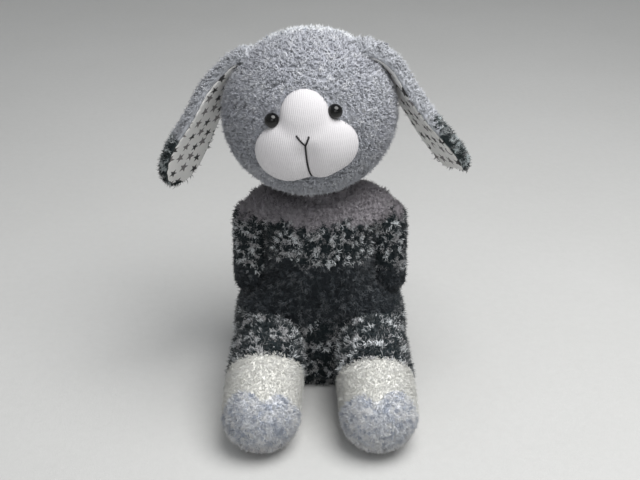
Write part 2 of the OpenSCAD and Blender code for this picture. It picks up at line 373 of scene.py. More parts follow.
class Shader:
    """One procedural material and a shorthand for its nodes."""

    def __init__(self, name, rough, sheen=0.0, specular=0.25):
        self.material = bpy.data.materials.new(name)
        self.material.use_nodes = True
        self.tree = self.material.node_tree
        self.main = next(n for n in self.tree.nodes if n.type == "BSDF_PRINCIPLED")
        self.main.inputs["Roughness"].default_value = rough
        self.main.inputs["Sheen Weight"].default_value = sheen
        self.main.inputs["Sheen Roughness"].default_value = 0.5
        self.main.inputs["Specular IOR Level"].default_value = specular

    def node(self, kind, inputs=None, **settings):
        made = self.tree.nodes.new(kind)
        for key, value in settings.items():
            setattr(made, key, value)
        for key, value in (inputs or {}).items():
            self.give(made.inputs[key], value)
        return made

    def give(self, socket, value):
        if isinstance(value, bpy.types.NodeSocket):
            self.tree.links.new(value, socket)
        else:
            socket.default_value = value

    def math(self, operation, a, b=0.0):
        return self.node("ShaderNodeMath", {0: a, 1: b}, operation=operation).outputs[0]

    def add(self, a, b):
        return self.math("ADD", a, b)

    def less(self, a, b):
        return self.math("SUBTRACT", a, b)

    def times(self, a, b):
        return self.math("MULTIPLY", a, b)

    def swing(self, value, width):
        """A value from 0 to 1 as a shift of up to half the width either way."""
        return self.times(self.less(value, 0.5), width)

    def reach(self, x, y):
        """The distance from the origin."""
        return self.math("SQRT", self.add(self.times(x, x), self.times(y, y)))

    def vector(self, operation, a, b=(0, 0, 0)):
        return self.node("ShaderNodeVectorMath", {0: a, 1: b}, operation=operation).outputs[0]

    def scaled(self, vector, factor):
        inputs = {0: vector, "Scale": factor}
        return self.node("ShaderNodeVectorMath", inputs, operation="SCALE").outputs[0]

    def mix(self, factor, a, b):
        return self.node("ShaderNodeMix", {0: factor, 6: a, 7: b}, data_type="RGBA").outputs[2]

    def step(self, low, high, value):
        """0 below low, 1 above high, smooth between."""
        inputs = {"Value": value, "From Min": low, "From Max": high}
        made = self.node("ShaderNodeMapRange", inputs, interpolation_type="SMOOTHSTEP")
        return made.outputs[0]

    def noise(self, vector, scale, detail=2.0, rough=0.5):
        inputs = {"Vector": vector, "Scale": scale, "Detail": detail, "Roughness": rough}
        return self.node("ShaderNodeTexNoise", inputs).outputs["Fac"]

    def object_place(self):
        return self.node("ShaderNodeTexCoord").outputs["Object"]

    def read(self, name, output="Fac"):
        return self.node("ShaderNodeAttribute", attribute_name=name).outputs[output]

    def split(self, vector):
        return self.node("ShaderNodeSeparateXYZ", {0: vector}).outputs

    def colour(self, value):
        self.give(self.main.inputs["Base Color"], value)

    def bump(self, height, distance, strength, normal=None):
        inputs = {"Height": height, "Distance": distance, "Strength": strength}
        if normal is not None:
            inputs["Normal"] = normal
        self.give(self.main.inputs["Normal"], self.node("ShaderNodeBump", inputs).outputs[0])

    def rough(self, value, low, high):
        made = self.node("ShaderNodeMapRange", {"Value": value, "To Min": low, "To Max": high})
        self.give(self.main.inputs["Roughness"], made.outputs[0])


SOFT_LIGHT = 0.65  # how much a fibre is lit as the skin under it is
GRAIN = 900.0  # scale of the fibres' finest roughness


def finish_yarn(s, base, shade, shine, cloudiness=1.3, soft=SOFT_LIGHT):
    """Paints shade on a yarn's colour towards the fibre's root and a highlight towards its tip, and varies it
    from fibre to fibre.

    shade and shine are the shares of black and white for the painted shade and the painted highlight, and
    soft is how much the skin's normal counts."""
    root = s.read("root_point", "Vector")
    cloudy = s.times(s.add(s.noise(root, 90.0, 3.0), s.noise(root, 330.0, 1.0)), 0.5)
    # level runs from the painted root shade to the painted tip highlight, shifted by the fibre's random tone
    # and cloudiness
    level = s.add(s.times(s.read("along"), 0.55), s.times(s.read("tone"), 0.6))
    level = s.add(level, s.swing(cloudy, cloudiness))
    # dark holds the painted shade at the roots, light the painted highlight at the tips
    dark = s.mix(shade, base, (0.0, 0.0, 0.0, 1.0))
    light = s.mix(shine, base, (1.0, 1.0, 1.0, 1.0))
    lower = s.mix(s.step(0.1, 0.6, level), dark, base)
    s.colour(s.mix(s.step(0.6, 1.15, level), lower, light))
    place = s.object_place()
    grain = s.noise(place, GRAIN, 3.0)
    s.rough(grain, 0.78, 0.97)
    to_world = {"vector_type": "NORMAL", "convert_from": "OBJECT", "convert_to": "WORLD"}
    skin_normal = s.read("skin_normal", "Vector")
    skin = s.node("ShaderNodeVectorTransform", {0: skin_normal}, **to_world).outputs[0]
    own = s.node("ShaderNodeNewGeometry").outputs["Normal"]
    shared = s.vector("ADD", s.scaled(own, 1 - soft), s.scaled(skin, soft))
    s.bump(grain, 0.0006, 0.4, s.vector("NORMALIZE", shared))


def mottle(s, root, tone, dark, light, accent, share, size):
    """Two-coloured feather yarn: light tufts scattered on a dark ground. A lower share gives more light."""
    patches = s.noise(root, size, 2.0, 0.6)
    specks = s.noise(root, size * 2.6, 1.0)
    value = s.add(s.add(patches, s.swing(specks, 0.55)), s.swing(tone, 0.36))
    mask = s.step(share - 0.05, share + 0.08, value)
    tinted = s.mix(s.step(0.45, 0.55, s.noise(root, size * 0.8, 1.0)), light, accent)
    return s.mix(mask, dark, tinted)


WARM_GREY = srgb(164, 159, 164)
CHARCOAL = srgb(44, 49, 54)
GREEN_BLACK = srgb(40, 50, 54)
PALE = srgb(242, 246, 249)
BEIGE = srgb(188, 188, 190)
HEAD_GREY = srgb(204, 207, 214)
CREAM = srgb(253, 252, 245)
TOE_WHITE = srgb(252, 253, 255)
SLATE = srgb(190, 197, 211)
SNOW = srgb(246, 249, 253)
KNIT = srgb(226, 224, 226)
COTTON = srgb(244, 243, 241)
INK = srgb(26, 25, 27)
INK_GREY = srgb(122, 118, 118)


def body_material(name, grey_from, upper_from, charcoal_from):
    """The torso's and arms' sock: warm grey yoke, mottled, charcoal and mottled bands with ragged edges."""
    s = Shader(name, 0.9, sheen=0.12)
    root = s.read("root_point", "Vector")
    tone = s.read("tone")
    ragged = s.swing(s.noise(root, 110.0, 2.0), 16.0 * MM)
    height = s.add(s.add(s.split(root)[2], ragged), s.swing(tone, 7.0 * MM))
    lower = mottle(s, root, tone, GREEN_BLACK, PALE, BEIGE, 0.57, 160.0)
    upper = mottle(s, root, tone, GREEN_BLACK, PALE, BEIGE, 0.565, 190.0)
    charcoal = s.mix(s.math("POWER", tone, 2.0), CHARCOAL, srgb(84, 91, 97))
    colour = lower
    for start, soft, band in (
        (charcoal_from, 0.8, charcoal),
        (upper_from, 0.8, upper),
        (grey_from, 1.5, WARM_GREY),
    ):
        colour = s.mix(s.step((start - soft) * MM, (start + soft) * MM, height), colour, band)
    finish_yarn(s, colour, 0.45, 0.14)
    return s.material


# The head's white zone starts this share of the height above the head's middle further forward.
CROWN_SLOPE = 0.30


def crown_edge(s, root):
    """How far a place lies back from the head's middle, with the slope of the white zone's edge."""
    back = s.less(s.split(root)[1], HEAD[1] * MM)
    rise = s.less(s.split(root)[2], HEAD[2] * MM)
    return s.add(back, s.times(rise, CROWN_SLOPE))


def crown_white(s, root, tone):
    return mottle(s, root, tone, srgb(192, 200, 214), SNOW, SNOW, 0.40, 200.0)


def head_material():
    """The head's grey sock, with a white, blue-flecked zone over the crown and the back."""
    s = Shader("grey_head_yarn", 0.9, sheen=0.2)
    root = s.read("root_point", "Vector")
    tone = s.read("tone")
    edge = s.add(crown_edge(s, root), s.swing(s.noise(root, 95.0, 2.0), 15.0 * MM))
    edge = s.add(edge, s.swing(tone, 5.0 * MM))
    white = crown_white(s, root, tone)
    lilac = s.mix(s.noise(root, 45.0, 1.0), HEAD_GREY, srgb(188, 190, 201))
    whiteness = s.step(15.2 * MM, 18.6 * MM, edge)
    # Painted root shade: a smaller share of black in the white zone than on the grey
    shade = s.less(0.55, s.times(whiteness, 0.45))
    finish_yarn(s, s.mix(whiteness, lilac, white), shade, 0.5)
    return s.material


def plain_yarn(name, low, high, *finish):
    """One-coloured yarn; finish is passed on to finish_yarn."""
    s = Shader(name, 0.9, sheen=0.05)
    root = s.read("root_point", "Vector")
    finish_yarn(s, s.mix(s.noise(root, 140.0, 2.0), low, high), *finish)
    return s.material


def speckled_material():
    """The toes' yarn: slate-blue flecks on white, and greyer flecks near the floor."""
    s = Shader("speckled_toe_yarn", 0.9, sheen=0.2)
    root = s.read("root_point", "Vector")
    tone = s.read("tone")
    z = s.split(root)[2]
    flecked = mottle(s, root, tone, SLATE, TOE_WHITE, srgb(236, 239, 245), 0.41, 210.0)
    pale = mottle(s, root, tone, srgb(186, 188, 196), srgb(246, 244, 244), TOE_WHITE, 0.39, 260.0)
    finish_yarn(s, s.mix(s.step(10 * MM, 19 * MM, z), pale, flecked), 0.12, 0.45)
    return s.material


def ear_material(name):
    """The ears' sock: grey from the root, then green-black with white tufts towards the tip."""
    s = Shader(name, 0.9, sheen=0.15)
    root = s.read("root_point", "Vector")
    tone = s.read("tone")
    run = s.add(s.read("ear_run"), s.swing(s.noise(root, 110.0, 2.0), 14.0))
    light, grey = srgb(196, 206, 208), srgb(178, 184, 186)
    dark = mottle(s, root, tone, srgb(44, 54, 56), light, grey, 0.54, 130.0)
    near_root = s.less(1.0, s.step(10.0, 20.0, run))
    whiteness = s.times(s.step(17.0 * MM, 21.0 * MM, crown_edge(s, root)), near_root)
    colour = s.mix(whiteness, HEAD_GREY, crown_white(s, root, tone))
    finish_yarn(s, s.mix(s.step(54.0, 57.0, run), colour, dark), 0.45, 0.3)
    return s.material


def knit_material():
    """Fine white jersey: upright ribs a little over a millimetre apart, each a column of small stitches."""
    s = Shader("white_jersey", 0.85, sheen=0.1)
    place = s.read("knit_place", "Vector")
    x, _, z = s.split(place)
    pitch, row = 1.15, 0.85
    ribs = s.math("SINE", s.times(x, 2 * math.pi / pitch))
    slant = s.times(s.math("ABSOLUTE", ribs), 1.4)
    rows = s.math("SINE", s.add(s.times(z, 2 * math.pi / row), slant))
    cloud = s.noise(place, 0.12, 3.0)
    fine = s.noise(place, 2.6, 2.0)
    groove = s.times(s.add(ribs, 1.0), 0.5)
    # Painted shade: the grooves between the ribs are coloured darker than the rib tops
    colour = s.mix(s.times(groove, 0.35), srgb(212, 209, 212), KNIT)
    s.colour(s.mix(s.times(cloud, 0.35), colour, srgb(230, 229, 230)))
    height = s.add(s.add(s.times(ribs, 0.5), s.times(rows, 0.12)), s.times(fine, 0.5))
    s.rough(fine, 0.72, 0.95)
    s.bump(height, 0.0003, 0.45)
    return s.material


def star_material():
    """White cotton printed with five-pointed stars in black and grey and a few crescents."""
    s = Shader("star_print_cotton", 0.8, sheen=0.05)
    place = s.read("cloth_place", "Vector")
    spread, unevenness = 10.4, 0.42  # between one figure and the next
    inputs = {"Vector": place, "Scale": 1 / spread, "Randomness": unevenness}
    cells = s.node("ShaderNodeTexVoronoi", inputs, voronoi_dimensions="2D")
    chance = s.split(cells.outputs["Color"])
    dx, dy, _ = s.split(s.vector("SUBTRACT", place, cells.outputs["Position"]))
    reach = s.reach(dx, dy)
    turned = s.add(s.math("ARCTAN2", dy, dx), s.times(chance[0], 2 * math.pi))
    fifth = 2 * math.pi / 5
    folded = s.math("PINGPONG", s.add(turned, 20 * math.pi), fifth / 2)
    # The edge of a star runs straight from a point of radius 1 to an inner corner of radius 0.42.
    inner = 0.42
    corner = (inner * math.cos(fifth / 2), inner * math.sin(fifth / 2))
    normal = (corner[1], 1 - corner[0])
    size = math.hypot(*normal)
    nx, ny = normal[0] / size, normal[1] / size
    radius = s.add(3.9, s.times(chance[1], 0.9))
    facing = s.add(s.times(s.math("COSINE", folded), nx), s.times(s.math("SINE", folded), ny))
    soft = 0.14  # how far the ink's edge blurs
    star = s.step(-soft, soft, s.less(s.times(radius, nx), s.times(reach, facing)))
    # A crescent is a disc less a smaller disc beside it.
    moon_radius, bite_radius, bite_shift = 3.2, 2.6, 1.3
    moon_x = s.less(s.times(reach, s.math("COSINE", turned)), bite_shift)
    moon_y = s.times(reach, s.math("SINE", turned))
    disc = s.step(-soft, soft, s.less(moon_radius, reach))
    moon = s.times(disc, s.step(-soft, soft, s.less(s.reach(moon_x, moon_y), bite_radius)))
    is_moon = s.math("GREATER_THAN", chance[2], 0.84)
    figure = s.add(s.times(star, s.less(1.0, is_moon)), s.times(moon, is_moon))
    ink = s.mix(s.math("GREATER_THAN", chance[1], 0.55), INK, INK_GREY)
    thread_pitch = 0.5
    across, down, _ = s.split(place)
    warp = s.math("SINE", s.times(across, 2 * math.pi / thread_pitch))
    weft = s.math("SINE", s.times(down, 2 * math.pi / thread_pitch))
    cloud = s.noise(place, 0.15, 3.0)
    ground = s.mix(s.times(cloud, 0.5), COTTON, srgb(222, 221, 218))
    s.colour(s.mix(s.times(figure, 0.95), ground, ink))
    s.rough(cloud, 0.72, 0.9)
    s.bump(s.times(warp, weft), 0.00012, 0.4)
    return s.material


def thread_material(name, low, high):
    """Stranded embroidery thread, its plies seen as fine slanting lines."""
    s = Shader(name, 0.6, sheen=0.05, specular=0.35)
    place = s.object_place()
    inputs = {"Vector": place, "Scale": 320.0, "Distortion": 2.0, "Detail": 1.0}
    wave = s.node("ShaderNodeTexWave", inputs, bands_direction="DIAGONAL").outputs["Fac"]
    s.colour(s.mix(wave, low, high))
    s.rough(wave, 0.5, 0.8)
    s.bump(wave, 0.0002, 0.6)
    return s.material


def wad_material():
    """Polyester stuffing: white, cloudy and matted."""
    s = Shader("polyester_wad", 0.95)
    place = s.object_place()
    cloud = s.noise(place, 120.0, 5.0, 0.7)
    s.colour(s.mix(cloud, srgb(205, 205, 202), srgb(240, 240, 238)))
    s.rough(cloud, 0.85, 1.0)
    s.bump(cloud, 0.002, 0.8)
    return s.material


def bead_material():
    """Glossy black bead, very slightly scuffed."""
    s = Shader("black_bead", 0.06, specular=0.45)
    place = s.object_place()
    scuff = s.noise(place, 700.0, 4.0)
    s.colour(s.mix(scuff, srgb(3, 3, 3), srgb(9, 8, 9)))
    s.rough(scuff, 0.03, 0.12)
    return s.material


def dress(obj, material, slot=None):
    obj.data.materials.clear()
    obj.data.materials.append(material)
    return obj


BLACK_THREAD = thread_material("black_floss", srgb(14, 13, 15), srgb(44, 42, 45))
GREY_THREAD = thread_material("grey_floss", srgb(112, 114, 120), srgb(160, 162, 168))
WAD = wad_material()
BEAD = bead_material()

# The CAD nodes that stay: the eyes, and what is sealed inside.
for node, obj in frame["nodes"].items():
    if node.endswith("_eye"):
        material = BEAD
    elif node.endswith("eye_thread"):
        material = BLACK_THREAD
    elif node.endswith(("_stitch", "_thread")):
        material = GREY_THREAD
    else:
        material = WAD
    obj.data.materials.clear()
    obj.data.materials.append(material)


# ---------------------------------------------------------------- torso

BODY_YARN = body_material("banded_body_yarn", 123.0, 96.5, 53.5)
ARM_YARN = body_material("banded_arm_yarn", 119.0, 81.0, -50.0)
THIGH_YARN = body_material("mottled_thigh_yarn", 900.0, 800.0, 700.0)
HEAD_YARN = head_material()
CREAM_YARN = plain_yarn("cream_cuff_yarn", CREAM, srgb(255, 255, 250), 0.0, 0.7, 0.3, 0.75)
TOE_YARN = speckled_material()


def super_ring(half_x, half_y, power, count):
    """A rounded rectangle's points round the origin."""
    t = np.linspace(0, 2 * math.pi, count, endpoint=False)
    c, s = np.cos(t), np.sin(t)
    return np.column_stack(
        [
            half_x * np.sign(c) * np.abs(c) ** (2 / power),
            half_y * np.sign(s) * np.abs(s) ** (2 / power),
        ]
    )


def upright_rings(keys, steps, count):
    """Rings from rows of height, half width, half depth, squareness, sideways and forward shift."""
    rings = []
    for z, half_x, half_y, power, shift_x, shift_y in curve(keys, steps):
        ring = super_ring(half_x, half_y, power, count) + (shift_x, shift_y)
        rings.append(np.column_stack([ring, np.full(count, z)]))
    return np.array(rings)


def fleece(name, skin, material, bodies, slot, density, length, width, seed, keep=None, **more):
    """A pile on a skin, riding with it."""
    at, up = scatter(skin, density, seed, keep)
    made = pile(name, at, up, length, width, seed + 1, **more)
    dress(made, material, slot)
    attach(made, bodies)


def attach(obj, bodies):
    """Rides on one body when bodies is a name; when bodies is (first, second, start, end), its transform is
    only baked into its mesh and these four are not used.
    """
    if isinstance(bodies, str):
        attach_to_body(obj, bodies)
    else:
        first, second, start, end = bodies
        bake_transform(obj)


TORSO_KEYS = [
    (0.4, 30, 12, 2.4, 0, 0),
    (0.4, 49, 26, 3.0, 0, 0),
    (2.5, 53.5, 30.5, 3.3, 0, 0),
    (8, 55.5, 33.5, 3.4, 0, 0),
    (18, 56.6, 35.4, 3.4, 0, 0),
    (30, 56.8, 35.8, 3.4, 0, 0),
    (42, 56.0, 35.6, 3.3, 0, 0),
    (52, 53.0, 35.2, 3.0, 0, 0),
    (58, 49.5, 35, 2.8, 0, 0),
    (66, 42.0, 35, 2.5, 0, 0),
    (74, 37.4, 35, 2.4, 0, 0),
    (90, 35.8, 34.8, 2.3, 0, 0),
    (108, 35.8, 34.6, 2.3, 0, 0),
    (115, 36.4, 34.2, 2.3, 0, 0),
    (119.5, 40.5, 33.4, 2.2, 0, 0),
    (122.5, 46.0, 32.0, 2.1, 0, 0),
    (126, 47.0, 30, 2.05, 0, 0),
    (129.6, 42.5, 27.5, 2.0, 0, 0),
    (132.2, 35, 24, 2.0, 0, 0),
    (133.4, 22, 18, 2, 0, 0),
]
rings = upright_rings(TORSO_KEYS, 170, 260) + AXIS
body = tube("body_fleece", rings)
cloth(body, 0.5, 3)
dress(body, BODY_YARN, "banded_fleece")
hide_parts("body_skin")
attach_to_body(body, "torso")


def under_arm(at):
    """Places on the torso that an arm hides."""
    x = np.abs(at[:, 0] - AXIS[0])
    return (x > 33.5) & (at[:, 2] > 66) & (at[:, 2] < 121) & (np.abs(at[:, 1] - AXIS[1]) < 9)


PILE_FROM = 1.0  # no pile grows lower than this on the side that rests on the floor
HIP_PILE_TO = 62  # longer pile below, shorter above

for half, sign in (("front", -1), ("back", 1)):

    def on_hips(at, up, s=sign):
        z = at[:, 2]
        return (z < HIP_PILE_TO) & (z > PILE_FROM) & ((at[:, 1] - AXIS[1]) * s >= 0)

    def on_chest(at, up, s=sign):
        return (at[:, 2] >= HIP_PILE_TO) & ~under_arm(at) & ((at[:, 1] - AXIS[1]) * s >= 0)

    name, common = f"body_pile_lower_{half}", (body, BODY_YARN, "torso", "banded_fleece")
    fleece(name, *common, 1.25, 4.4, 0.54, 11 + sign, on_hips, tuft=3.4)
    name = f"body_pile_upper_{half}"
    fleece(name, *common, 1.4, 3.9, 0.52, 21 + sign, on_chest)

# ---------------------------------------------------------------- arms

for word, side in SIDES.items():
    low, high = (np.array(corner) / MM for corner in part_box(f"{word}_arm_skin"))
    top, bottom = high[2], low[2]
    arm_middle = np.array([*((low + high) / 2)[:2], 0.0])
    keys = [
        (bottom + 0.6, 3, 3.5, 2, -1.2 * side, 0),
        (bottom + 2.2, 7.2, 8, 2.1, -1.2 * side, 0),
        (bottom + 7, 9.9, 11.2, 2.3, -1.4 * side, 0),
        (bottom + 16, 10.7, 12.4, 2.4, -1.8 * side, 0),
        (bottom + 34, 10.8, 12.4, 2.4, -2.2 * side, 0),
        (top - 14, 10.9, 12.2, 2.3, -2.4 * side, 0),
        (top - 6, 10.4, 11.2, 2.2, -2.8 * side, 0),
        (top - 1.5, 8.0, 8.8, 2.1, -3.6 * side, 0),
        (top + 0.6, 4.6, 5.2, 2, -4.2 * side, 0),
        (top + 1.2, 1.6, 2.0, 2, -4.4 * side, 0),
    ]
    arm = tube(f"{word}_arm_fleece", upright_rings(keys, 80, 90) + arm_middle)
    cloth(arm, 0.5, 31 + side)
    dress(arm, ARM_YARN, "banded_fleece")
    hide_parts(f"{word}_arm_skin")
    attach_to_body(arm, f"{word}_arm")

    def off_the_torso(at, up, s=side):
        return up[:, 0] * s > -0.75

    common = (arm, ARM_YARN, f"{word}_arm", "banded_fleece")
    fleece(f"{word}_arm_pile", *common, 1.4, 3.8, 0.52, 40 + side, off_the_torso)

# ---------------------------------------------------------------- legs


def swept_rings(centres, radii, count):
    """Round rings across a centre line that runs in an upright plane."""
    sideways = np.array([1.0, 0, 0])
    rise = unit(np.cross(unit(np.gradient(centres, axis=0)), sideways))
    t = np.linspace(0, 2 * math.pi, count, endpoint=False)
    c, s = np.cos(t)[:, None], np.sin(t)[:, None]
    return np.array([p + c * r * sideways + s * r * lift for p, lift, r in zip(centres, rise, radii)])


LEG_RINGS, LEG_AROUND = 104, 150
PILE_ROOM = 2.1  # how far the leg's cloth lies inside the CAD's, to leave room for its pile
TOE_SWELL = 1.4  # how much fuller the foot is than the thigh
CUFF_TUCK = (0.9, 0.93, 0.97)  # the foot's first rings shrink into the thigh
RING_SLOPE = 0.4  # how far the leg's seams lean forward for each millimetre up, past the bend
TOE_SPLAY = 2.5  # how far the toes turn outward
CUFF_FROM_BEND = {"right": 6.5, "left": 9.5}  # how far past the bend each cream cuff starts

for word, side in SIDES.items():
    thigh_low, thigh_high = (np.array(c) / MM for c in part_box(f"{word}_thigh"))
    toe_low = np.array(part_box(f"{word}_toe_cap")[0]) / MM
    x = (thigh_low[0] + thigh_high[0]) / 2
    radius = (thigh_high[0] - thigh_low[0]) / 2
    hip_y = thigh_high[1]
    bend_y = thigh_low[1]
    thigh_z = (thigh_low[2] + thigh_high[2]) / 2
    fold_from, fold_to = np.array([x, hip_y + 1.5, thigh_z]), np.array([x, bend_y + 6, thigh_z])
    fold = ("torso", f"{word}_leg", fold_from, fold_to)

    skin = radius - PILE_ROOM
    toe_out = TOE_SPLAY * side
    ball = np.array([x + toe_out, toe_low[1] + radius, toe_low[2] + radius])
    leg_keys = [
        (x, hip_y + 7, thigh_z - 0.5, skin - 1.5),
        (x, hip_y, thigh_z, skin - 1.2),
        (x, hip_y - 8, thigh_z + 0.2, skin + 0.2),
        (x, hip_y - 18, thigh_z, skin + 0.4),
        (x, bend_y - 1.0, thigh_z - 0.6, skin + 0.7),
        (x + 0.25 * toe_out, bend_y - 7, thigh_z - 2.6, skin + 1.4),
        (x + 0.6 * toe_out, bend_y - 16, thigh_z - 6.7, skin + 1.6),
        (x + 0.85 * toe_out, ball[1] + 8, ball[2] + 3.6, skin + 1.5),
        (*ball, skin + TOE_SWELL),
    ]
    line = curve(leg_keys, LEG_RINGS)
    leg_rings = swept_rings(line[:, :3], line[:, 3], LEG_AROUND)
    cuff_y = bend_y - CUFF_FROM_BEND[word]
    cuff_top = int(np.argmin(np.abs(line[:, 1] - cuff_y)))

    def before_cuff(at, c=cuff_y, z=thigh_z - 3.5):
        """How far each point lies behind the cuff's slanting edge."""
        return at[:, 1] + RING_SLOPE * (at[:, 2] - z) - c

    def on_thigh(at, up, y=hip_y, before=before_cuff):
        clear = (at[:, 2] > PILE_FROM) & (up[:, 1] > -0.8)
        return (at[:, 1] < y + 0.5) & (before(at) > 0.3) & clear

    def on_foot(at, up, before=before_cuff):
        return (before(at) < 1.2) & (at[:, 2] > 0.8)

    thigh = tube(f"{word}_thigh_fleece", leg_rings[: cuff_top + 1])
    cloth(thigh, 0.5, 51 + side)
    dress(thigh, THIGH_YARN, "banded_fleece")
    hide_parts(f"{word}_thigh")
    attach(thigh, fold)
    common = (thigh, THIGH_YARN, fold, "banded_fleece")
    fleece(f"{word}_thigh_pile", *common, 1.3, 4.4, 0.54, 60 + side, on_thigh, tuft=3.4)

    tucked = len(CUFF_TUCK)
    line = line[cuff_top - tucked :]
    rings = leg_rings[cuff_top - tucked :].copy()
    centres = rings[:tucked].mean(1, keepdims=True)
    rings[:tucked] = centres + (rings[:tucked] - centres) * np.array(CUFF_TUCK)[:, None, None]
    aim = unit(line[-1, :3] - line[-2, :3])
    aim[0] = 0.0
    aim = unit(aim)
    ring, reach = rings[-1] - ball, aim * (skin + TOE_SWELL)
    angles = np.linspace(0, math.pi / 2, 26)[1:-1]
    cap = np.array([ball + ring * math.cos(a) + reach * math.sin(a) for a in angles])
    rings = np.vstack([rings, cap])
    run = length_along(rings.mean(1))
    edge_run = run[len(line) - 1]

    def split_at(t, s=side, e=edge_run):
        """How far along the foot the cream ends, round the foot: two humps with a notch on top."""
        from_top = t - math.pi / 2
        notch = np.exp(-(((from_top - 0.12 * s) / 0.20) ** 2))
        humps = np.exp(-(((from_top - 0.70) / 0.42) ** 2)) + np.exp(-(((from_top + 0.62) / 0.38) ** 2))
        return e + 1.5 + 5.0 * notch - 4.2 * humps + 1.2 * np.sin(3 * t + s)

    foot = tube(f"{word}_foot", rings)
    cloth(foot, 0.5, 71 + side)
    points, _, _ = arrays(foot)

    def foot_place(at, run=run, ball=ball, aim=aim, line=line, split_at=split_at):
        """How far past the cream's edge each point of the foot lies."""
        steps = np.linalg.norm(at[:, None, :] - line[None, :, :3], axis=2)
        nearest = np.argmin(steps, axis=1)
        past_ball = np.maximum((at - ball) @ aim, 0)
        rel = at - line[nearest, :3]
        angle = np.arctan2(rel[:, 2], rel[:, 0]) % (2 * math.pi)
        return run[nearest] + past_ball - split_at(angle)

    mesh = foot.data
    centres = np.empty(len(mesh.polygons) * 3, np.float32)
    mesh.polygons.foreach_get("center", centres)
    past = foot_place(centres.reshape(-1, 3).astype(float) / MM)
    for part, node, sign, material, slot, fibres, clump in (
        ("cuff", "cuff", -1, CREAM_YARN, "cream_fleece", (3.0, 2.9, 0.32), 0.15),
        ("toe", "toe_cap", 1, TOE_YARN, "speckled_fleece", (2.6, 3.1, 0.38), 0.3),
    ):
        chosen = past >= 0 if sign > 0 else past < 0
        faces = [tuple(p.vertices) for p, c in zip(mesh.polygons, chosen) if c]
        used = sorted({v for f in faces for v in f})
        index = {v: i for i, v in enumerate(used)}
        faces = [tuple(index[v] for v in f) for f in faces]
        piece = new_mesh(f"{word}_{part}_fleece", points[used], faces)
        keep_skin_attributes(piece, points[used], arrays(piece)[2])
        dress(piece, material, slot)
        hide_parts(f"{word}_{node}")
        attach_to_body(piece, f"{word}_leg")
        common = (piece, material, f"{word}_leg", slot, *fibres, 80 + 10 * sign + side, on_foot)
        fleece(f"{word}_{part}_pile", *common, lean=0.4, curl=0.7, tuft=2.4, clump=clump, blunt=0.9)
    bpy.data.objects.remove(foot)

# ---------------------------------------------------------------- head

# All of these are in the head's own frame. The muzzle is four rounds: sideways, height, radius.
HEAD_HALF = np.array([53.2, 51.2, 50.3])
RIGHT_CHEEK = (-13.4, -6.5, 19.4)
LEFT_CHEEK = (12.2, -5.2, 17.2)
BROW = (0.8, 15.5, 14.8)
SNOUT = (1.0, -6.0, 20.8)
MUZZLE_RISE = 6.6
MUZZLE_ROUND = 15.0  # how far in from its outline the muzzle still rises
EYE = (18.75, 15.5)
EYE_ROOM = 5.3
HAIR_LENGTH = 3.6


def to_head(points):
    """Points in the head's own frame."""
    return (points - HEAD) @ HEAD_TURN


def from_head(points):
    return points @ HEAD_TURN.T + HEAD


def soft_min(a, b, k):
    h = np.clip(0.5 + 0.5 * (b - a) / k, 0, 1)
    return b * (1 - h) + a * h - k * h * (1 - h)


def outside(x, z, place):
    """Distance outside a round on the face."""
    return np.hypot(x - place[0], z - place[1]) - place[2]


def muzzle_edge(x, z):
    """Distance outside the muzzle's outline, seen from the front of the head; negative inside."""
    d = soft_min(outside(x, z, RIGHT_CHEEK), outside(x, z, LEFT_CHEEK), 3.0)
    d = soft_min(d, outside(x, z, SNOUT), 3.0)
    return soft_min(d, outside(x, z, BROW), 6.5)


def beyond_eye(x, z):
    """Distance outside the room kept free for an eye."""
    return outside(np.abs(x), z, (*EYE, EYE_ROOM))


def head_front(x, z):
    """The head cloth's front surface and its outward normal at each place of the face."""
    a, b, c = HEAD_HALF
    y = -b * np.sqrt(np.maximum(1 - (x / a) ** 2 - (z / c) ** 2, 0.02))
    point = np.column_stack([x, y, z])
    return point, unit(point / HEAD_HALF**2)


def on_face(at):
    """True where a point on the head is under the muzzle or an eye."""
    x, y, z = to_head(at).T
    return (y < 0) & ((muzzle_edge(x, z) < 0) | (beyond_eye(x, z) < 0))


LATITUDES, LONGITUDES = 130, 260
lat = np.linspace(-math.pi / 2, math.pi / 2, LATITUDES + 2)[1:-1]
lon = np.linspace(0, 2 * math.pi, LONGITUDES, endpoint=False)
flat_out = np.cos(lat)[:, None]
upright = np.repeat(np.sin(lat)[:, None], LONGITUDES, 1)
globe = np.stack([flat_out * np.cos(lon), flat_out * np.sin(lon), upright], axis=-1)
head = tube("head_fleece", from_head(globe * HEAD_HALF))
cloth(head, 0.5, 91, floor=False)
dress(head, HEAD_YARN, "grey_fleece")
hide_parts("head_skin")
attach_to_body(head, "head")


def face_length(at):
    """The pile is shorter beside the muzzle and the eyes."""
    x, y, z = to_head(at).T
    near_eye = smooth(4.0, 0.3, beyond_eye(x, z))
    near_muzzle = smooth(3.0, 0.0, muzzle_edge(x, z))
    return np.where(y < 0, HAIR_LENGTH - 1.7 * near_eye - 0.5 * near_muzzle, HAIR_LENGTH)


for zone, front, density in (("front", True, 1.7), ("back", False, 1.1)):
    for word, side in SIDES.items():

        def in_zone(at, up, front=front, side=side):
            x, y, _ = to_head(at).T
            return ~on_face(at) & ((y < 4) == front) & (x * side >= 0)

        seed = 100 + 2 * front + side
        at, up = scatter(head, density, seed, in_zone)
        look = {"lean": 0.5, "tuft": 2.6, "clump": 0.6, "blunt": 1.05}
        hair = pile(f"head_pile_{zone}_{word}", at, up, face_length(at), 0.52, seed + 10, **look)
        dress(hair, HEAD_YARN, "grey_fleece")
        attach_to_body(hair, "head")

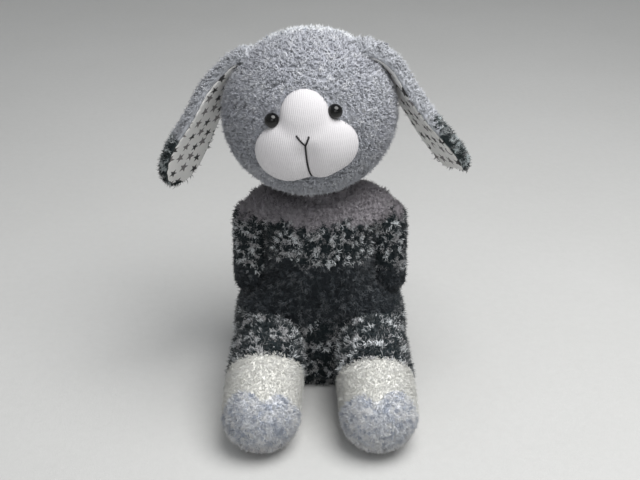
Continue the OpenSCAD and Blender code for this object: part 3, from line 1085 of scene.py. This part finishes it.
# The gathered neck under the head, hidden in the pile.
neck_keys = [
    (NECK[2] - 9, 25, 21.5, 2, 0, 0),
    (NECK[2] - 5, 23.5, 21, 2, 0, 0),
    (NECK[2] - 1, 22, 20.5, 2, 0, 0),
    (NECK[2] + 3, 20.5, 20, 2, 0, 0),
    (NECK[2] + 6, 19.5, 19, 2, 0, 0),
]
NECK_AROUND, FOLDS, FOLD_DEPTH = 180, 26, 0.02
neck_rings = upright_rings(neck_keys, 24, NECK_AROUND)
gathers = 1 + FOLD_DEPTH * np.sin(np.linspace(0, 2 * math.pi * FOLDS, NECK_AROUND, endpoint=False))
neck_rings[:, :, :2] *= gathers[None, :, None]
neck = tube("neck_gather", neck_rings + AXIS)
cloth(neck, 0.4, 121, floor=False)
NECK_YARN = plain_yarn("grey_neck_yarn", WARM_GREY, srgb(116, 114, 119), 0.5, 0.2)
dress(neck, NECK_YARN, "grey_fleece")
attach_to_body(neck, "neck")
common = (neck, NECK_YARN, "neck", "grey_fleece")
fleece("neck_pile", *common, 1.1, 3.0, 0.52, 122, curl=1.1, blunt=0.9)

# ---------------------------------------------------------------- muzzle

MOUTH_TOP = 1.4
MOUTH_END = -25.0


def mouth_x(z):
    """The mouth's slight curve from side to side."""
    down = np.clip((MOUTH_TOP - z) / (MOUTH_TOP - MOUTH_END), 0, 1)
    return -0.8 - 0.9 * np.sin(down * math.pi) - 0.5 * down


def muzzle_height(x, z):
    """How far the muzzle stands off the head."""
    d = -muzzle_edge(x, z)
    t = np.clip(d / MUZZLE_ROUND, 0, 1)
    height = MUZZLE_RISE * np.sqrt(np.maximum(1 - (1 - t) ** 2.2, 0))
    height = height - 1.2 * np.exp(-np.maximum(d, 0) / 1.2)
    below = smooth(MOUTH_TOP + 2, MOUTH_TOP - 8, z)
    dx = np.abs(x - mouth_x(z))
    height -= below * (1.1 * np.exp(-((dx / 1.0) ** 2)) + 2.6 * np.exp(-((dx / 6.0) ** 2)))
    cheeks = np.exp(-(((np.abs(x + 0.8) - 14) / 12) ** 2) - (((z + 7.5) / 12) ** 2))
    return height + 1.6 * cheeks


def muzzle_point(x, z, lift=0.0):
    """A place on the muzzle's surface in the head's own frame, raised by lift."""
    point, normal = head_front(x, z)
    return point + normal * (muzzle_height(x, z) + lift)[:, None]


# The muzzle's mesh: circles out from the middle to a seam allowance past the outline, by halving.
SPOKES, CIRCLES, SEAM_ALLOWANCE = 260, 70, 1.2
angle = np.linspace(0, 2 * math.pi, SPOKES, endpoint=False)
far = np.full(SPOKES, 45.0)
near = np.zeros(SPOKES)
for _ in range(30):
    half = (far + near) / 2
    out = muzzle_edge(half * np.cos(angle), half * np.sin(angle)) > SEAM_ALLOWANCE
    far, near = np.where(out, half, far), np.where(out, near, half)
share = np.linspace(0, 1, CIRCLES + 1)[1:] ** 0.9
px = (share[:, None] * far[None] * np.cos(angle)[None]).ravel()
pz = (share[:, None] * far[None] * np.sin(angle)[None]).ravel()
centre = muzzle_point(np.zeros(1), np.zeros(1))
points = np.vstack([muzzle_point(px, pz), centre])
faces = tube_faces(CIRCLES, SPOKES)
faces += [(len(points) - 1, (j + 1) % SPOKES, j) for j in range(SPOKES)]
muzzle = new_mesh("muzzle_knit", from_head(points), faces)
keep_attribute(muzzle, "knit_place", "FLOAT_VECTOR", points)
if arrays(muzzle)[2][-1] @ (HEAD_TURN @ np.array([0, -1.0, 0])) < 0:
    muzzle.data.flip_normals()
dress(muzzle, knit_material(), "white_knit")
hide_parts("muzzle_patch", "muzzle_padding")
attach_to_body(muzzle, "head")


PLIES, TWIST_PITCH, PLY_AROUND = 2, 2.4, 8
PLY_OUT, PLY_RADIUS = 0.45, 0.62  # shares of the thread's radius


def thread(name, path, radius):
    """A twisted black thread on the head, along a path of points in the row frame."""
    line = curve(path, len(path) * 10)
    along = unit(np.gradient(line, axis=0))
    side = unit(np.cross(along, np.array([0.3, 0.2, 0.93])))
    other = np.cross(along, side)
    run = length_along(line)
    from_end = np.minimum(run, run[-1] - run) + 0.25
    taper = radius * PLY_RADIUS * np.minimum(1, from_end / 0.6)
    t = np.linspace(0, 2 * math.pi, PLY_AROUND, endpoint=False)[None, :, None]
    ray = side[:, None] * np.cos(t) + other[:, None] * np.sin(t)
    points, faces = [], []
    for ply in range(PLIES):
        phase = 2 * math.pi * (run / TWIST_PITCH + ply / PLIES)
        swirl = side * np.cos(phase)[:, None] + other * np.sin(phase)[:, None]
        core = line + swirl * radius * PLY_OUT
        rings = core[:, None] + taper[:, None, None] * ray
        first = sum(len(p) for p in points)
        points.append(np.vstack([rings.reshape(-1, 3), rings[0].mean(0), rings[-1].mean(0)]))
        ply_faces = tube_faces(len(line), PLY_AROUND, (True, True))
        faces += [tuple(first + v for v in f) for f in ply_faces]
    made = new_mesh(name, np.vstack(points), faces)
    dress(made, BLACK_THREAD, "black_thread")
    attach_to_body(made, "head")
    return made


mouth_z = np.linspace(MOUTH_TOP, MOUTH_END, 12)
mouth_path = muzzle_point(mouth_x(mouth_z), mouth_z, 0.15)
mouth = thread("mouth_floss", from_head(mouth_path), 0.62)
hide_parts("mouth_stitch")
NOSE_FOOT = (float(mouth_x(np.array(MOUTH_TOP))), MOUTH_TOP - 0.6)
for end_x, end_z, word in ((-4.8, 6.8, "right"), (1.9, 5.6, "left")):
    t = np.linspace(0, 1, 6)
    x = NOSE_FOOT[0] + (end_x - NOSE_FOOT[0]) * t**0.9
    z = NOSE_FOOT[1] + (end_z - NOSE_FOOT[1]) * t
    nose = thread(f"nose_floss_{word}", from_head(muzzle_point(x, z, 0.2)), 0.6)
    if word == "right":
        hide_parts("nose_stitch")

# ---------------------------------------------------------------- ears

EAR_LEAN = {"right": 32, "left": 24}
EAR_TURN = 25
# Where each ear grows out of the head's cloth, in the head's own frame, and how far it lies from its
# straight hinge line at each depth down it: towards the head is positive.
SHIFT_DEPTHS = (12.0, 35.0, 60.0, 95.0)
EAR_ROOT = {"right": (-35.5, 5.0, 36.5), "left": (40.0, 1.0, 32.0)}
EAR_SHIFT = {"right": (3.0, 1.0, -1.5, -1.0), "left": (6.0, 6.5, 5.5, 3.0)}
EAR_LENGTH = {"right": 0.91, "left": 0.98}  # of the hinge line's own length
EAR_FORWARD = {"right": 0.0, "left": 4.0}
# Twist of each ear at its root, half way and at its tip.
EAR_TWIST = {"right": (4, 3, 12), "left": (-6, -5, 5)}
# The ear's half width at each distance below its seam.
EAR_OUTLINE = [
    (-22, 11.5),
    (-14, 11.8),
    (-5, 11.8),
    (0, 12.0),
    (10, 13.8),
    (25, 17.2),
    (45, 20.0),
    (60, 20.8),
    (72, 19.6),
    (82, 16.4),
    (89, 12.0),
    (93.4, 6.4),
    (95, 0.8),
]
ROOT_DEPTH = 8.0  # how far the ear's root goes on into the head
SPINE_GAP = 2.0
LINING_FROM, LINING_TO = -13, 93.6
STITCH_PITCH = 7.5
PRINT_SHIFT = (40.0, 11.0)  # each ear shows another part of the print
STAR_COTTON = star_material()


def closed_loops(front, back):
    """Rows of points along a front sheet and back along another, without doubling the shared edges."""
    return np.concatenate([front, back[:, ::-1][:, 1:-1]], axis=1)


for word, side in SIDES.items():
    hinge = np.array(JOINTS[f"{word}_ear_flap"]["pos_m"]) / MM
    ear_turn = HEAD_TURN @ turn("y", -side * EAR_LEAN[word]) @ turn("z", side * EAR_TURN)
    flip = np.array([-1.0 if side > 0 else 1.0, 1, 1])

    def from_ear(points, m=ear_turn, f=flip, h=hinge):
        return (points * f) @ m.T + h

    outline = curve([(u, w, 0) for u, w in EAR_OUTLINE], 120)
    run, half = outline[:, 0], outline[:, 1]
    acrossness = np.linspace(-1, 1, 61)
    root_local = ((from_head(np.array(EAR_ROOT[word])) - hinge) @ ear_turn) * flip
    deeper = root_local + ROOT_DEPTH * unit(((HEAD - hinge) @ ear_turn) * flip)
    ahead = -EAR_FORWARD[word]
    below = [(shift, ahead, -depth) for shift, depth in zip(EAR_SHIFT[word], SHIFT_DEPTHS)]
    spine = curve([deeper, root_local, *below], 200)
    spine_run = length_along(spine)
    # The seam is as far before the first depth as that depth says; the spine's start lies in the head.
    past_root = 60
    first_depth = past_root + int(np.argmin(np.abs(spine[past_root:, 2] + SHIFT_DEPTHS[0])))
    seam_run = spine_run[first_depth] - SHIFT_DEPTHS[0]

    def on_spine(where, spine=spine, spine_run=spine_run):
        return np.stack([np.interp(where, spine_run, spine[:, k]) for k in range(3)], axis=-1)

    def spine_at(u, on_spine=on_spine, end=spine_run[-1], seam=seam_run, stretch=EAR_LENGTH[word]):
        """The ear's centre line, and the ways through and across it, a distance u below the seam."""
        where = np.clip(seam + np.where(u > 0, u * stretch, u), 0, end)
        down = unit(on_spine(where + SPINE_GAP) - on_spine(where - SPINE_GAP))
        through = unit(np.cross(down, np.array([0.0, 1.0, 0.0])))
        return on_spine(where), through, unit(np.cross(through, down))

    def ear_sheet(offset, puff, run=run, half=half, turns=EAR_TWIST[word], spine_at=spine_at):
        """A sheet over the ear's outline: offset out of the lining's side, swelling by puff in the middle."""
        u = np.repeat(run[:, None], len(acrossness), 1)
        v = np.repeat(acrossness[None], len(run), 0)
        y = v * half[:, None]
        bulge = np.sqrt(np.maximum(1 - np.abs(v) ** 2.6, 0))
        tip = smooth(95, 84, u)
        x = offset + puff * bulge * (0.35 + 0.65 * tip)
        x = x + 1.4 * v**2 * smooth(0, 30, u)
        twist = np.radians(np.interp(u, (0, 45, 90), turns))
        c, s = np.cos(twist), np.sin(twist)
        centre, through, across = spine_at(run)
        out_by, along_by = (x * c + y * s)[..., None], (y * c - x * s)[..., None]
        return centre[:, None] + through[:, None] * out_by + across[:, None] * along_by, u, v

    fold_from, fold_to = (from_ear(np.array([0, 0, z])) for z in (4.0, -9.0))
    fold = ("head", f"{word}_ear", fold_from, fold_to)

    # The fleecy outer layer: one closed shell with the lining on its inner side.
    outer, _, _ = ear_sheet(-0.6, -6.5)
    inner, _, _ = ear_sheet(0.2, 0.3)
    ring_points = closed_loops(outer, inner)
    ear = tube(f"{word}_ear_fleece", from_ear(ring_points))
    ear_run = np.append(np.repeat(run, ring_points.shape[1]), [run[0], run[-1]])
    cloth(ear, 0.3, 131 + side, floor=False)
    keep_attribute(ear, "ear_run", "FLOAT", ear_run)
    ear_yarn = ear_material(f"{word}_ear_yarn")
    dress(ear, ear_yarn, "grey_fleece")
    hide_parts(f"{word}_ear_outer")

    lining_normal = ear_turn @ (flip * np.array([1.0, 0, 0]))
    at, up = scatter(ear, 1.5, 140 + side, lambda at, up, n=lining_normal: up @ n < 0.25)
    hair = pile(f"{word}_ear_pile", at, up, 3.8, 0.52, 150 + side, lean=0.55, tuft=2.8)
    hair_run = -((at - hinge) @ ear_turn)[:, 2] / EAR_LENGTH[word]
    keep_attribute(hair, "ear_run", "FLOAT", np.repeat(hair_run, FIBRE_POINTS))
    dress(hair, ear_yarn, "grey_fleece")

    # The cotton lining: a thin closed sheet whose edge is pulled in at each hand stitch.
    scallop = 0.93 + 0.022 * np.cos(2 * math.pi * run / STITCH_PITCH)
    keep_rows = (run > LINING_FROM) & (run < LINING_TO)
    front, u, v = ear_sheet(0.9, 1.9)
    back, _, _ = ear_sheet(0.2, 1.2)

    def narrowed(sheet, scallop=scallop):
        """The lining's edge inside the ear's edge."""
        middle_line = sheet[:, len(acrossness) // 2][:, None]
        return middle_line + (sheet - middle_line) * scallop[:, None, None]

    front, back = narrowed(front)[keep_rows], narrowed(back)[keep_rows]
    lining = tube(f"{word}_ear_lining_cotton", from_ear(closed_loops(front, back)))
    flat = np.stack([v * half[:, None], -u, 0 * u], -1)[keep_rows]
    flat = closed_loops(flat, flat).reshape(-1, 3)
    flat = np.vstack([flat, flat[0], flat[-1]]) + np.array([PRINT_SHIFT[0] * side, PRINT_SHIFT[1], 0])
    keep_attribute(lining, "cloth_place", "FLOAT_VECTOR", flat)
    dress(lining, STAR_COTTON, "star_cotton")
    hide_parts(f"{word}_ear_lining")

    for obj in (ear, hair, lining):
        attach(obj, fold)

# ---------------------------------------------------------------- setting: floor, light and camera


def floor_material():
    """Pale matt cloth with a faint nap."""
    s = Shader("pale_cloth_floor", 0.95)
    place = s.object_place()
    cloud = s.noise(place, 5.0, 4.0, 0.6)
    fine = s.noise(place, 900.0, 3.0)
    nap = s.noise(place, 160.0, 4.0, 0.65)
    tint = s.mix(cloud, srgb(206, 206, 204), srgb(216, 216, 215))
    s.colour(s.mix(s.times(nap, 0.35), tint, srgb(192, 192, 190)))
    s.rough(nap, 0.88, 1.0)
    s.bump(s.add(s.times(fine, 0.5), nap), 0.0008, 0.35)
    return s.material


# A round floor that curves up into a wall.
FLOOR_RADIUS, CORNER_RADIUS, WALL_HEIGHT = 1250.0, 250.0, 900.0
FLOOR_SPOKES, FLOOR_DROP = 128, 0.05
angle = np.linspace(0, 2 * math.pi, FLOOR_SPOKES, endpoint=False)
profile = [(r, 0.0) for r in np.linspace(6, FLOOR_RADIUS, 60)]
for a in np.linspace(0, math.pi / 2, 14)[1:]:
    profile.append((FLOOR_RADIUS + CORNER_RADIUS * math.sin(a), CORNER_RADIUS * (1 - math.cos(a))))
profile.append((FLOOR_RADIUS + CORNER_RADIUS, WALL_HEIGHT))
floor_points = [(r * math.cos(a), r * math.sin(a), z) for r, z in profile for a in angle]
floor_points = np.array([*floor_points, (0, 0, 0)]) - (0, 0, FLOOR_DROP)
faces = [tuple(reversed(f)) for f in tube_faces(len(profile), FLOOR_SPOKES)]
hub = len(profile) * FLOOR_SPOKES
faces += [(hub, j, (j + 1) % FLOOR_SPOKES) for j in range(FLOOR_SPOKES)]
floor = new_mesh("floor", floor_points, faces)
dress(floor, floor_material())


SOFTBOX_SIZE = 0.8


def area_light(name, place, target, power, colour):
    data = bpy.data.lights.new(name, "AREA")
    data.shape = "DISK"
    data.size = SOFTBOX_SIZE
    data.energy = power
    data.color = colour
    lamp = bpy.data.objects.new(name, data)
    lamp.location = place
    lamp.rotation_euler = (Vector(target) - Vector(place)).to_track_quat("-Z", "Y").to_euler()
    bpy.context.scene.collection.objects.link(lamp)


area_light("overhead_softbox", (0.28, -0.20, 1.0), (0, -0.04, 0.1), 10.4, (1, 0.995, 0.985))
area_light("front_fill", (0.1, -1.1, 0.75), (0, 0, 0.12), 1.6, (0.98, 0.99, 1))

scene = bpy.context.scene
world = bpy.data.worlds.new("soft_room")
world.use_nodes = True
background = next(n for n in world.node_tree.nodes if n.type == "BACKGROUND")
background.inputs["Color"].default_value = (0.93, 0.96, 1.0, 1)
background.inputs["Strength"].default_value = 0.335
scene.world = world
scene.view_settings.view_transform = "Standard"

# The camera looks down at 27 degrees from 680 mm, from straight ahead of the torso.
CAMERA_AWAY, CAMERA_DOWN, AIM_HEIGHT = 0.680, math.radians(27), 0.118
PHOTO_SHIFT = 28 / 640  # the lens is shifted down by this share of the picture's width
camera_data = bpy.data.cameras.new("camera")
camera_data.sensor_width = 36.0
camera_data.lens = 57.1
camera_data.shift_y = -PHOTO_SHIFT
camera = bpy.data.objects.new("camera", camera_data)
aim = Vector((AXIS[0] * MM, AXIS[1] * MM, AIM_HEIGHT))
look = Vector((0, math.cos(CAMERA_DOWN), -math.sin(CAMERA_DOWN)))
camera.location = aim - look * CAMERA_AWAY
camera.rotation_euler = look.to_track_quat("-Z", "Y").to_euler()
scene.collection.objects.link(camera)
scene.camera = camera
